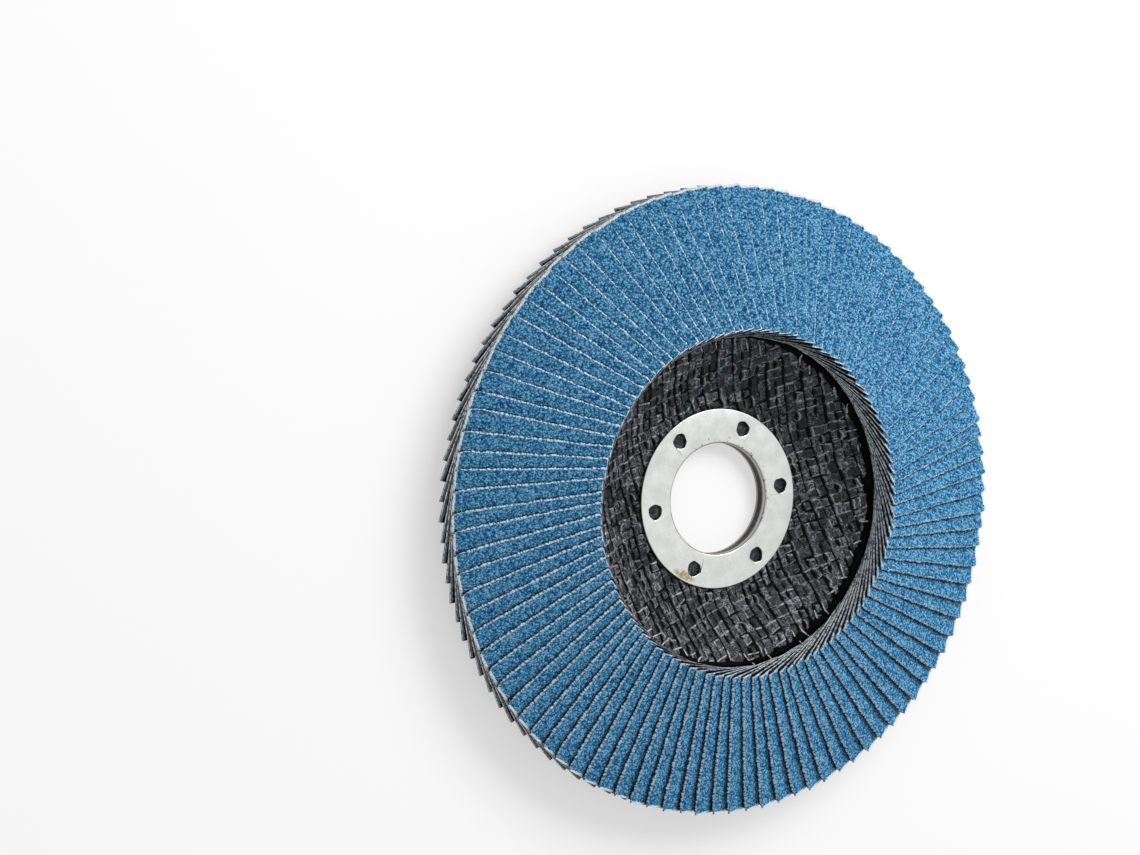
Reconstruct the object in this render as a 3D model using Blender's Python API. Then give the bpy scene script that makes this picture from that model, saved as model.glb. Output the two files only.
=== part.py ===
"""Abrasive flap disc for an angle grinder, working face up.

The disc stands on its back arbor ring: the origin is on the bore's axis, at the face that seats on the
grinder's flange, and +Z points out of the working face. Sizes are in metres.
"""

import math

import bmesh
import bpy

MM = 0.001

# Arbor rings: steel flanges on both sides of the plate, sized by the standard bore
BORE_DIAMETER = 22.23 * MM
RING_WIDTH = 6.9 * MM
RING_SHEET = 0.5 * MM
COLLAR_WALL = 0.6 * MM
BORE_LIP_RADIUS = 0.4 * MM
RING_EDGE_RADIUS = 0.2 * MM
LOCK_HOLE_DIAMETER = 3.0 * MM
LOCK_HOLES = 6
LOCK_HOLE_START = math.radians(34)

# Backing plate: a pressed laminate with a flat hub, a dished web and a cone under the flaps
PLY_THICKNESS = 0.56 * MM
PLY_NAMES = ("front_glass_ply", "front_core_ply", "rear_core_ply", "back_glass_ply")
HUB_LAND = 2.0 * MM
DISH_HEIGHT = 5.85 * MM
CREST_INSET = 1.2 * MM
CONE_ANGLE = math.radians(11.5)

# Adhesive bed between the plate and the flaps
BED_THICKNESS = 0.4 * MM
BED_EDGE_INSET = 0.6 * MM
BEAD_WIDTH = 1.3 * MM
BEAD_HEIGHT = 1.6 * MM

# Flaps: straight leaves laid round the plate, each resting on the one before it
DISC_DIAMETER = 125 * MM
FLAP_PAIRS = 50
FLAP_LENGTH = 28.65 * MM
FLAP_WIDTH = 18.0 * MM
FLAP_THICKNESS = 0.55 * MM
FLAP_INNER_SKEW = 1.5 * MM
FLAP_OUTER_SKEW = 0.6 * MM
CUT_EDGE_OFFSET = 7.45 * MM
INNER_LAYER_GAP = 0.17 * MM
OUTER_LAYER_GAP = 0.64 * MM
FLAP_OVERHANG = 8.5 * MM
BOND_STRIP_WIDTH = 2.5 * MM
BOND_STRIP_INSET = 0.4 * MM
BOND_STRIP_END = 3.0 * MM

# Clearances
GLUE_LINE = 0.06 * MM
COLLAR_CLEARANCE = 0.06 * MM
COLLAR_RECESS = 0.1 * MM
FOOT_CLEARANCE = 0.1 * MM
BEAD_CLEARANCE = 0.15 * MM

# Resolution
TURN_STEPS = 48
HOLE_STEPS = 16
DISH_POINTS = 5
LIP_POINTS = 4
FLAP_CELLS = (2, 2)
STRIP_CELLS = (2, 1)

# Derived radii
BORE_RADIUS = BORE_DIAMETER / 2
COLLAR_RADIUS = BORE_RADIUS + COLLAR_WALL
SLEEVED_RADIUS = COLLAR_RADIUS + COLLAR_CLEARANCE
RING_RADIUS = BORE_RADIUS + RING_WIDTH
LOCK_HOLE_CIRCLE = (COLLAR_RADIUS + RING_RADIUS) / 2
HUB_RADIUS = RING_RADIUS + HUB_LAND
DISC_RADIUS = DISC_DIAMETER / 2
PLATE_RADIUS = DISC_RADIUS - FLAP_OVERHANG
FLAP_TURN = math.pi / FLAP_PAIRS

# A flap's own frame has +X outwards along the flap: the cut edge is at low Y and the foot at high Y.
# The cut edge's outer corner touches the disc's circle
FLAP_CUT_Y = -CUT_EDGE_OFFSET
FLAP_FOOT_Y = FLAP_WIDTH - CUT_EDGE_OFFSET
FLAP_CUT_END_X = math.sqrt(DISC_RADIUS**2 - FLAP_CUT_Y**2)
FLAP_FOOT_END_X = FLAP_CUT_END_X - FLAP_OUTER_SKEW
FLAP_CUT_START_X = FLAP_CUT_END_X - FLAP_LENGTH
FLAP_FOOT_START_X = FLAP_CUT_START_X - FLAP_INNER_SKEW
FLAP_INNER_RADIUS = math.hypot(FLAP_CUT_START_X, FLAP_CUT_Y)
CREST_RADIUS = FLAP_INNER_RADIUS - CREST_INSET
DISH_STEP = (CREST_RADIUS - HUB_RADIUS) / DISH_POINTS
DISH_RADII = [HUB_RADIUS + DISH_STEP * step for step in range(DISH_POINTS)]

# The flaps' inner ends come nearest to the axis part way along their slanted line
FLAP_END_RUN = math.hypot(FLAP_WIDTH, FLAP_INNER_SKEW)
FLAP_NEAREST = (FLAP_CUT_START_X * FLAP_WIDTH + FLAP_CUT_Y * FLAP_INNER_SKEW) / FLAP_END_RUN
BEAD_RADIUS = FLAP_NEAREST - BEAD_CLEARANCE

# Derived heights
PLATE_THICKNESS = len(PLY_NAMES) * (PLY_THICKNESS + GLUE_LINE) + GLUE_LINE
HUB_FRONT = RING_SHEET + PLATE_THICKNESS
RING_FACE = HUB_FRONT + RING_SHEET


def plate_front(radius):
    """Height of the plate's front face at a radius."""
    top = HUB_FRONT - GLUE_LINE
    if radius > CREST_RADIUS:
        return top + DISH_HEIGHT - (radius - CREST_RADIUS) * math.tan(CONE_ANGLE)
    share = max(0.0, (radius - HUB_RADIUS) / (CREST_RADIUS - HUB_RADIUS))
    return top + DISH_HEIGHT * share * share * (3 - 2 * share)


def bed_front(radius):
    """Height of the adhesive bed's front face at a radius under the flaps."""
    return plate_front(radius) + GLUE_LINE + BED_THICKNESS


def layer_pitch(radius):
    """Height from one flap to the next at a radius."""
    share = (radius - FLAP_INNER_RADIUS) / (DISC_RADIUS - FLAP_INNER_RADIUS)
    return FLAP_THICKNESS + INNER_LAYER_GAP + (OUTER_LAYER_GAP - INNER_LAYER_GAP) * share


def flap_depth(radius):
    """Height of one flap from its back face to its abrasive face, measured along Z."""
    slope = layer_pitch(radius) / (radius * FLAP_TURN)
    return FLAP_THICKNESS * math.hypot(1, slope)


def flap_face(x, y):
    """Height of a flap's abrasive face in the flap's own frame."""
    radius = math.hypot(x, y)
    above_foot = math.asin(FLAP_FOOT_Y / radius) - math.atan2(y, x)
    foot = bed_front(radius) + FOOT_CLEARANCE + flap_depth(radius)
    return foot + layer_pitch(radius) * above_foot / FLAP_TURN


def flap_back(x, y):
    """Height of a flap's cloth back in the flap's own frame."""
    return flap_face(x, y) - flap_depth(math.hypot(x, y))


def flap_middle(x, y):
    """Height half way through a flap's cloth, in the flap's own frame."""
    return (flap_face(x, y) + flap_back(x, y)) / 2


def next_flap_middle(x, y):
    """Height half way through the flap that rests on this one, in this one's frame."""
    return flap_middle(x, y) + layer_pitch(math.hypot(x, y))


def arc_points(centre, radius, start, end, count):
    """Points on a circular arc in the (radius, height) plane."""
    turns = [start + (end - start) * step / (count - 1) for step in range(count)]
    return [(centre[0] + radius * math.cos(a), centre[1] + radius * math.sin(a)) for a in turns]


def principled(name, colour, roughness, metallic):
    """A plain material in one colour."""
    material = bpy.data.materials.new(name)
    material.use_nodes = True
    shader = material.node_tree.nodes["Principled BSDF"]
    shader.inputs["Base Color"].default_value = (*colour, 1)
    shader.inputs["Roughness"].default_value = roughness
    shader.inputs["Metallic"].default_value = metallic
    return material


def place(name, mesh, material, parent, turn=0.0):
    """An object of the disc, turned about the bore's axis."""
    if not mesh.materials:
        mesh.materials.append(material)
    part = bpy.data.objects.new(name, mesh)
    part.rotation_euler.z = turn
    part.parent = parent
    bpy.context.collection.objects.link(part)
    return part


def finished_mesh(name, shape):
    """A mesh from a bmesh, with its faces turned outwards."""
    bmesh.ops.recalc_face_normals(shape, faces=shape.faces[:])
    mesh = bpy.data.meshes.new(name)
    shape.to_mesh(mesh)
    shape.free()
    return mesh


def turned_mesh(name, outline):
    """A closed (radius, height) outline turned about the bore's axis."""
    shape = bmesh.new()
    points = [shape.verts.new((radius, 0, height)) for radius, height in outline]
    edges = [shape.edges.new((points[i - 1], points[i])) for i in range(len(points))]
    bmesh.ops.spin(
        shape,
        geom=points + edges,
        axis=(0, 0, 1),
        cent=(0, 0, 0),
        angle=2 * math.pi,
        steps=TURN_STEPS,
        use_merge=True,
    )
    mesh = finished_mesh(name, shape)
    mesh.shade_smooth()
    mesh.set_sharp_from_angle(angle=math.radians(35))
    return mesh


def leaf_mesh(name, x_starts, x_ends, y_span, cells, top, back):
    """A leaf between a top and a back height function, whose two ends each run between two X values."""
    shape = bmesh.new()
    bmesh.ops.create_grid(shape, x_segments=cells[0], y_segments=cells[1], size=1)
    grown = bmesh.ops.extrude_face_region(shape, geom=shape.faces[:])["geom"]
    upper = {item for item in grown if isinstance(item, bmesh.types.BMVert)}
    for vert in shape.verts:
        across = (vert.co.y + 1) / 2
        x_start = x_starts[0] + (x_starts[1] - x_starts[0]) * across
        x_end = x_ends[0] + (x_ends[1] - x_ends[0]) * across
        x = x_start + (x_end - x_start) * (vert.co.x + 1) / 2
        y = y_span[0] + (y_span[1] - y_span[0]) * across
        surface = top if vert in upper else back
        vert.co = (x, y, surface(x, y))
    return finished_mesh(name, shape)


def cut_or_join(part, other, operation):
    """A Boolean with another object, which is kept out of the model."""
    other.hide_render = True
    other.display_type = "WIRE"
    modifier = part.modifiers.new(other.name, "BOOLEAN")
    modifier.operation = operation
    modifier.object = other
    modifier.solver = "EXACT"


def front_arbor_ring(steel, parent):
    """The plated flange with its drawn collar, a rounded bore lip and the punched lock holes."""
    lip_centre = (BORE_RADIUS + BORE_LIP_RADIUS, RING_FACE - BORE_LIP_RADIUS)
    edge_centre = (RING_RADIUS - RING_EDGE_RADIUS, RING_FACE - RING_EDGE_RADIUS)
    outline = [
        (BORE_RADIUS, COLLAR_RECESS),
        *arc_points(lip_centre, BORE_LIP_RADIUS, math.pi, math.pi / 2, LIP_POINTS),
        *arc_points(edge_centre, RING_EDGE_RADIUS, math.pi / 2, 0, LIP_POINTS),
        (RING_RADIUS, HUB_FRONT),
        (COLLAR_RADIUS, HUB_FRONT),
        (COLLAR_RADIUS, COLLAR_RECESS),
    ]
    ring = place("front_arbor_ring", turned_mesh("front_arbor_ring", outline), steel, parent)
    for step in range(LOCK_HOLES):
        shape = bmesh.new()
        bmesh.ops.create_cone(
            shape,
            cap_ends=True,
            segments=HOLE_STEPS,
            radius1=LOCK_HOLE_DIAMETER / 2,
            radius2=LOCK_HOLE_DIAMETER / 2,
            depth=4 * RING_SHEET,
        )
        name = f"lock_hole_{step + 1}"
        punch = place(name, finished_mesh(name, shape), steel, parent)
        angle = LOCK_HOLE_START + step * 2 * math.pi / LOCK_HOLES
        punch.location.x = LOCK_HOLE_CIRCLE * math.cos(angle)
        punch.location.y = LOCK_HOLE_CIRCLE * math.sin(angle)
        punch.location.z = RING_FACE - RING_SHEET / 2
        cut_or_join(ring, punch, "DIFFERENCE")


def back_arbor_ring(steel, parent):
    """The washer that the collar is swaged into, and the face that seats on the grinder's flange."""
    edge_centre = (RING_RADIUS - RING_EDGE_RADIUS, RING_EDGE_RADIUS)
    outline = [
        (SLEEVED_RADIUS, 0),
        (SLEEVED_RADIUS, RING_SHEET),
        (RING_RADIUS, RING_SHEET),
        *arc_points(edge_centre, RING_EDGE_RADIUS, 0, -math.pi / 2, LIP_POINTS),
    ]
    place("back_arbor_ring", turned_mesh("back_arbor_ring", outline), steel, parent)


def glass_plies(laminate, parent):
    """The layers of the plate, from the front to the back."""
    radii = [SLEEVED_RADIUS, *DISH_RADII, CREST_RADIUS, PLATE_RADIUS]
    for layer, name in enumerate(PLY_NAMES):
        drop = layer * (PLY_THICKNESS + GLUE_LINE)
        front = [(radius, plate_front(radius) - drop) for radius in radii]
        back = [(radius, height - PLY_THICKNESS) for radius, height in reversed(front)]
        place(name, turned_mesh(name, front + back), laminate, parent)


def adhesive_bed(resin, parent):
    """The resin ring under the flaps, with the bead that squeezes out at their inner ends."""
    toe = BEAD_RADIUS - BEAD_WIDTH
    shoulder = BEAD_RADIUS - BEAD_WIDTH / 3
    outer = PLATE_RADIUS - BED_EDGE_INSET
    bends = [radius for radius in DISH_RADII if radius > toe]
    followed = sorted([toe, BEAD_RADIUS, *bends, CREST_RADIUS, outer])
    front = [
        (toe, bed_front(toe)),
        (shoulder, bed_front(shoulder) + BEAD_HEIGHT),
        (BEAD_RADIUS, bed_front(BEAD_RADIUS) + BEAD_HEIGHT),
        *[(radius, bed_front(radius)) for radius in followed if radius >= BEAD_RADIUS],
    ]
    back = [(radius, bed_front(radius) - BED_THICKNESS) for radius in reversed(followed)]
    place("adhesive_bed", turned_mesh("adhesive_bed", front + back), resin, parent)


def flap_pairs(abrasive, parent):
    """The ring of flaps, in pairs bonded to each other by a strip of resin near the foot."""
    flap_starts = (FLAP_CUT_START_X, FLAP_FOOT_START_X)
    flap_ends = (FLAP_CUT_END_X, FLAP_FOOT_END_X)
    flap_y = (FLAP_CUT_Y, FLAP_FOOT_Y)
    flap_mesh = leaf_mesh("flap", flap_starts, flap_ends, flap_y, FLAP_CELLS, flap_face, flap_back)
    lower = place("lower", flap_mesh, abrasive, parent)
    upper = place("upper", flap_mesh, abrasive, parent, FLAP_TURN)
    strip_starts = (FLAP_CUT_START_X + BOND_STRIP_END, FLAP_CUT_START_X + BOND_STRIP_END)
    strip_ends = (PLATE_RADIUS - BOND_STRIP_END, PLATE_RADIUS - BOND_STRIP_END)
    strip_y = (FLAP_FOOT_Y - BOND_STRIP_INSET - BOND_STRIP_WIDTH, FLAP_FOOT_Y - BOND_STRIP_INSET)
    strip_mesh = leaf_mesh(
        "strip", strip_starts, strip_ends, strip_y, STRIP_CELLS, next_flap_middle, flap_middle
    )
    strip = place("strip", strip_mesh, abrasive, parent)
    cut_or_join(lower, strip, "UNION")
    cut_or_join(lower, upper, "UNION")
    evaluated = lower.evaluated_get(bpy.context.evaluated_depsgraph_get())
    pair_mesh = bpy.data.meshes.new_from_object(evaluated)
    pair_mesh.name = "flap_pair"
    for source in (lower, upper, strip):
        bpy.data.objects.remove(source)
    for pair in range(FLAP_PAIRS):
        place(f"flap_pair_{pair + 1:02d}", pair_mesh, abrasive, parent, pair * 2 * FLAP_TURN)


def main():
    """Clears the scene and builds the disc."""
    for old in list(bpy.data.objects):
        bpy.data.objects.remove(old)
    disc = bpy.data.objects.new("flap_disc", None)
    bpy.context.collection.objects.link(disc)
    steel = principled("plated_steel", (0.72, 0.73, 0.69), 0.4, 1.0)
    laminate = principled("black_glass_laminate", (0.02, 0.02, 0.022), 0.45, 0.0)
    resin = principled("black_resin", (0.008, 0.008, 0.009), 0.6, 0.0)
    abrasive = principled("blue_abrasive_cloth", (0.05, 0.19, 0.42), 0.8, 0.0)
    front_arbor_ring(steel, disc)
    back_arbor_ring(steel, disc)
    glass_plies(laminate, disc)
    adhesive_bed(resin, disc)
    flap_pairs(abrasive, disc)


main()
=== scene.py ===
"""Look of an abrasive flap disc: blue grit flaps on a black glass-cloth plate with a plated arbor ring.

The file is laid out as an add-on: one operator makes each group of pieces round the loaded frame.
Sizes are in metres, in the frame's own axes: the disc lies on its back arbor ring, working face up.
"""

import functools
import math
import random

import bmesh
import bpy
from bpy.props import FloatProperty, FloatVectorProperty, IntProperty, PointerProperty
from mathutils import Matrix, Vector, noise


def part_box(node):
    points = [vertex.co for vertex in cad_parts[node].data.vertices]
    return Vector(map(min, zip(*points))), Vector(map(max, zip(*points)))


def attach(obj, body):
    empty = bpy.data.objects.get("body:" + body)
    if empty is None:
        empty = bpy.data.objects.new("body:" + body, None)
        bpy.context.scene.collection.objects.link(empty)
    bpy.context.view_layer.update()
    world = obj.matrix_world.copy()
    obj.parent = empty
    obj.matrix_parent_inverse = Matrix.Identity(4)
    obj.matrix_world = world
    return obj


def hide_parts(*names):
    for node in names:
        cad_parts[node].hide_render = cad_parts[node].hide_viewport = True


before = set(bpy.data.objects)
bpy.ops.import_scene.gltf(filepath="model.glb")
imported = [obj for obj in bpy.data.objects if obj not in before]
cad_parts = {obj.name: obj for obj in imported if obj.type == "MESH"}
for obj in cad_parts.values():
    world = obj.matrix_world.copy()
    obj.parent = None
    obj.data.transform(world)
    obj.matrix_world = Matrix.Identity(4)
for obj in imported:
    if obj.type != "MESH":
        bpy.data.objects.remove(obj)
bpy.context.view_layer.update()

bl_info = {
    "name": "Abrasive Flap Disc",
    "version": (1, 0, 0),
    "blender": (4, 5, 0),
    "location": "3D View > Sidebar > Flap Disc",
    "description": "Makes the visible pieces of an abrasive flap disc round its frame",
    "category": "Add Mesh",
}

MM = 0.001
SHARP_EDGE = math.radians(40)
RING_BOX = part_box("front_arbor_ring")
PLATE_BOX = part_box("front_glass_ply")


def linear(code):
    """An sRGB hex colour as linear red, green and blue."""
    parts = [int(code[i : i + 2], 16) / 255 for i in (1, 3, 5)]
    return tuple(p / 12.92 if p <= 0.04045 else ((p + 0.055) / 1.055) ** 2.4 for p in parts)


def cycles(size_mm):
    """A texture's scale for a pattern whose features are that many millimetres across."""
    return 1 / (size_mm * MM)


def length(name, description, size_mm):
    """A length property, given in millimetres."""
    return FloatProperty(
        name=name, description=description, default=size_mm * MM, unit="LENGTH", precision=5
    )


def angle(name, description, degrees):
    """An angle property, given in degrees."""
    return FloatProperty(name=name, description=description, default=math.radians(degrees), subtype="ANGLE")


def colour(name, description, code):
    """A colour property, given as an sRGB hex value."""
    return FloatVectorProperty(
        name=name, description=description, default=linear(code), subtype="COLOR", size=3, min=0, max=1
    )


class RingSettings(bpy.types.PropertyGroup):
    """Sizes of the two arbor rings."""

    bore: length("Bore radius", "Inside of the collar", 11.115)
    radius: length("Ring radius", "Outer edge of both rings", RING_BOX[1].x / MM)
    face: length("Face height", "Front of the front ring above its back seat", RING_BOX[1].z / MM)
    sheet: length("Sheet", "Thickness of the pressed sheet", 0.5)
    collar: length("Collar wall", "Thickness of the drawn collar", 0.6)
    lip: length("Bore lip", "Radius of the rounded lip at the bore", 0.4)
    edge: length("Edge", "Radius of the sheet's sheared edge", 0.2)
    hole: length("Lock hole", "Diameter of a punched hole", 3.0)
    holes: IntProperty(name="Lock holes", description="Number of punched holes", default=6, min=1)
    start: angle("First hole", "Place of the first hole round the ring", 34)


class PlateSettings(bpy.types.PropertyGroup):
    """Sizes of the glass-cloth plate, its weave and the adhesive."""

    radius: length("Plate radius", "Rim of the plate", PLATE_BOX[1].x / MM)
    ply: length("Ply", "Thickness of one layer", 0.56)
    glue: length("Glue line", "Resin between two layers", 0.06)
    hub: length("Hub radius", "Edge of the flat hub", 20.015)
    dish: length("Dish", "Height of the dished web", 5.85)
    crest: length("Crest inset", "From the flaps' inner corners to the web's crest", 1.2)
    cone: angle("Cone", "Fall of the plate under the flaps", 11.5)
    warp: length("Warp pitch", "Spacing of the strands that run to lower right", 1.7)
    weft: length("Weft pitch", "Spacing of the strands that run to upper right", 2.1)
    bed: length("Adhesive bed", "Resin under the flaps", 0.4)
    bead_width: length("Bead width", "Squeezed-out adhesive at the flaps' inner ends", 1.3)
    bead_height: length("Bead height", "Squeezed-out adhesive above the bed", 1.6)
    seed: IntProperty(name="Seed", description="Start of the random draws for stray strands", default=5)


class FlapSettings(bpy.types.PropertyGroup):
    """Sizes of the flaps and how unevenly they lie."""

    count: IntProperty(name="Flaps", description="Number of flaps round the disc", default=100, min=4)
    radius: length("Disc radius", "Outer corners of the flaps", 62.5)
    length: length("Length", "A flap's cut edge", 28.65)
    width: length("Width", "From the cut edge to the foot", 18.0)
    thickness: length("Thickness", "Cloth, resin and grit", 0.55)
    offset: length("Cut edge offset", "From the disc's axis to the line of the cut edge", 7.45)
    inner_skew: length("Inner skew", "Slant of a flap's inner end", 1.5)
    outer_skew: length("Outer skew", "Slant of a flap's outer end", 0.6)
    inner_gap: length("Inner gap", "Between two flaps at their inner ends", 0.17)
    outer_gap: length("Outer gap", "Between two flaps at the disc's edge", 0.64)
    foot: length("Foot clearance", "From the adhesive to a flap's foot", 0.1)
    uneven: length("Unevenness", "How far a cut edge strays from its place", 0.22)
    ledge: length("Ledge", "How far the cloth stands out under the cut grit", 0.46)
    fray: length("Fray", "Length of a loose fibre at a cut edge", 0.3)
    seed: IntProperty(name="Seed", description="Start of the random draws", default=11)


class ColourSettings(bpy.types.PropertyGroup):
    """Colours of the materials."""

    grit: colour("Grit", "Most of the abrasive coat", "#3784b2")
    # The grit's darkest and lightest colours also carry the painted shade of the pits and the painted
    # highlight of the grains' crowns
    grit_dark: colour("Grit pits", "Resin between the grains", "#00447a")
    grit_light: colour("Grit faces", "Broken faces of the grains", "#8fcbf0")
    chip: colour("Chipped edge", "Thread dusted with grit, where grain has come off", "#cfe8fa")
    thread: colour("Thread", "Loose and cut polyester thread", "#f2fbff")
    thread_shade: colour("Thread shade", "Thread that holds resin", "#8496a2")
    # Dark resin colour, which also paints the shade under the next flap and along the lower part of the cut
    # faces and ends
    resin_and_painted_shade: colour("Size coat", "Resin seen on a cut face", "#0a1622")
    cloth: colour("Cloth back", "Back of the flaps", "#a8a294")
    glass: colour("Glass strand", "Resin-coated glass strand", "#0e0f13")
    # Lighter strand colour: partly the strands' own texture, partly painted glints
    glass_streak_and_glint: colour("Glass worn", "Strand that is rubbed bare on its crown", "#565a64")
    # Pale colour: painted highlights on folds and tape edges, and the own colour of loose strand ends
    bare_glass_and_glint: colour("Glass bare", "Tape edges rubbed bare of resin", "#d8dae0")
    # Near-black resin: its own colour, and also the painted shade in the weave's hollows
    resin: colour("Resin", "Black phenolic resin in the hollows", "#040405")
    steel: colour("Plating", "Zinc plating on the rings", "#dddfdd")
    # Darker, yellowish colour on the rings' lip and outer edge
    worn: colour("Worn plating", "Plating on the rings' edges", "#9d968a")
    scuff: colour("Scuff", "Dark rubbed marks round the bore", "#4a4843")
    # Dark inside of the collar: painted reflection and shade of the bore
    bore: colour("Bore", "Burnished inside of the collar", "#36353a")
    rust: colour("Rust stain", "Yellow stain by one hole", "#a88a4a")


class StageSettings(bpy.types.PropertyGroup):
    """Camera and light."""

    aim: FloatVectorProperty(
        name="Aim",
        description="Point that the camera looks at",
        default=(0.0374, 0.00133, 0.00354),
        unit="LENGTH",
    )
    distance: length("Distance", "From the camera to its aim", 524.43)
    azimuth: angle("Azimuth", "Camera's side, from +X", 17.88)
    elevation: angle("Elevation", "Camera above the floor", 60.23)
    roll: angle("Roll", "Turn of the picture", 97.48)
    lens: FloatProperty(name="Lens", description="Focal length in millimetres", default=85.93)
    key_azimuth: angle("Key azimuth", "Side that the main light comes from", 264)
    key_elevation: angle("Key elevation", "Height of the main light", 42)
    key: FloatProperty(name="Key", description="Main light on a surface that faces it", default=0.74)
    fill: FloatProperty(name="Fill", description="Even light from all round", default=0.42)
    floor: colour("Floor", "Plain card under the disc", "#c8c8c8")


class Shape:
    """The disc's surfaces as functions, from the settings in the scene."""

    def __init__(self):
        scene = bpy.context.scene
        self.ring = scene.flap_disc_ring
        self.plate = scene.flap_disc_plate
        self.flap = scene.flap_disc_flaps
        flap = self.flap
        self.hub_front = self.ring.face - self.ring.sheet
        self.turn = 2 * math.pi / flap.count
        self.cut_y = -flap.offset
        self.foot_y = flap.width - flap.offset
        self.cut_end = math.sqrt(flap.radius**2 - self.cut_y**2)
        self.cut_start = self.cut_end - flap.length
        self.inner_radius = math.hypot(self.cut_start, self.cut_y)
        self.crest_radius = self.inner_radius - self.plate.crest

    def plate_front(self, radius):
        """Height of the plate's front face."""
        plate = self.plate
        top = self.hub_front - plate.glue
        if radius > self.crest_radius:
            return top + plate.dish - (radius - self.crest_radius) * math.tan(plate.cone)
        share = max(0.0, (radius - plate.hub) / (self.crest_radius - plate.hub))
        return top + plate.dish * share * share * (3 - 2 * share)

    def bed_front(self, radius):
        """Height of the adhesive bed's front face."""
        return self.plate_front(radius) + self.plate.glue + self.plate.bed

    def layer_pitch(self, radius):
        """Height from one flap to the next."""
        flap = self.flap
        share = (radius - self.inner_radius) / (flap.radius - self.inner_radius)
        return flap.thickness + flap.inner_gap + (flap.outer_gap - flap.inner_gap) * share

    def flap_heights(self, x, y):
        """Heights of a flap's abrasive face and its cloth back, in the flap's own frame."""
        radius = math.hypot(x, y)
        pitch = self.layer_pitch(radius)
        depth = self.flap.thickness * math.hypot(1, pitch / (radius * self.turn))
        above_foot = math.asin(min(1, self.foot_y / radius)) - math.atan2(y, x)
        foot = self.bed_front(radius) + self.flap.foot + depth
        face = foot + pitch * above_foot / self.turn
        return face, face - depth


SMOOTH = {"interpolation_type": "SMOOTHSTEP"}
IN_COLOUR = {"data_type": "RGBA"}


def add_node(tree, kind, sockets=None, **settings):
    """Adds a node with its settings; a socket takes a value, or a link from a node or an output."""
    made = tree.nodes.new("ShaderNode" + kind)
    for name, value in settings.items():
        setattr(made, name, value)
    for key, value in (sockets or {}).items():
        socket = made.inputs[key]
        if isinstance(value, bpy.types.Node):
            value = next(output for output in value.outputs if output.enabled)
        if isinstance(value, bpy.types.NodeSocket):
            tree.links.new(value, socket)
        elif socket.type == "RGBA" and len(value) == 3:
            socket.default_value = (*value, 1)
        else:
            socket.default_value = value
    return made


def empty_tree(holder):
    """Clears the tree of a material or world; gives add_node for that tree."""
    holder.use_nodes = True
    holder.node_tree.nodes.clear()
    return functools.partial(add_node, holder.node_tree)


def new_material(name):
    """A material with an empty tree, add_node for that tree, and the Object coordinates in it."""
    material = bpy.data.materials.new(name)
    add = empty_tree(material)
    return material, add, add("TexCoord").outputs["Object"]


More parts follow.
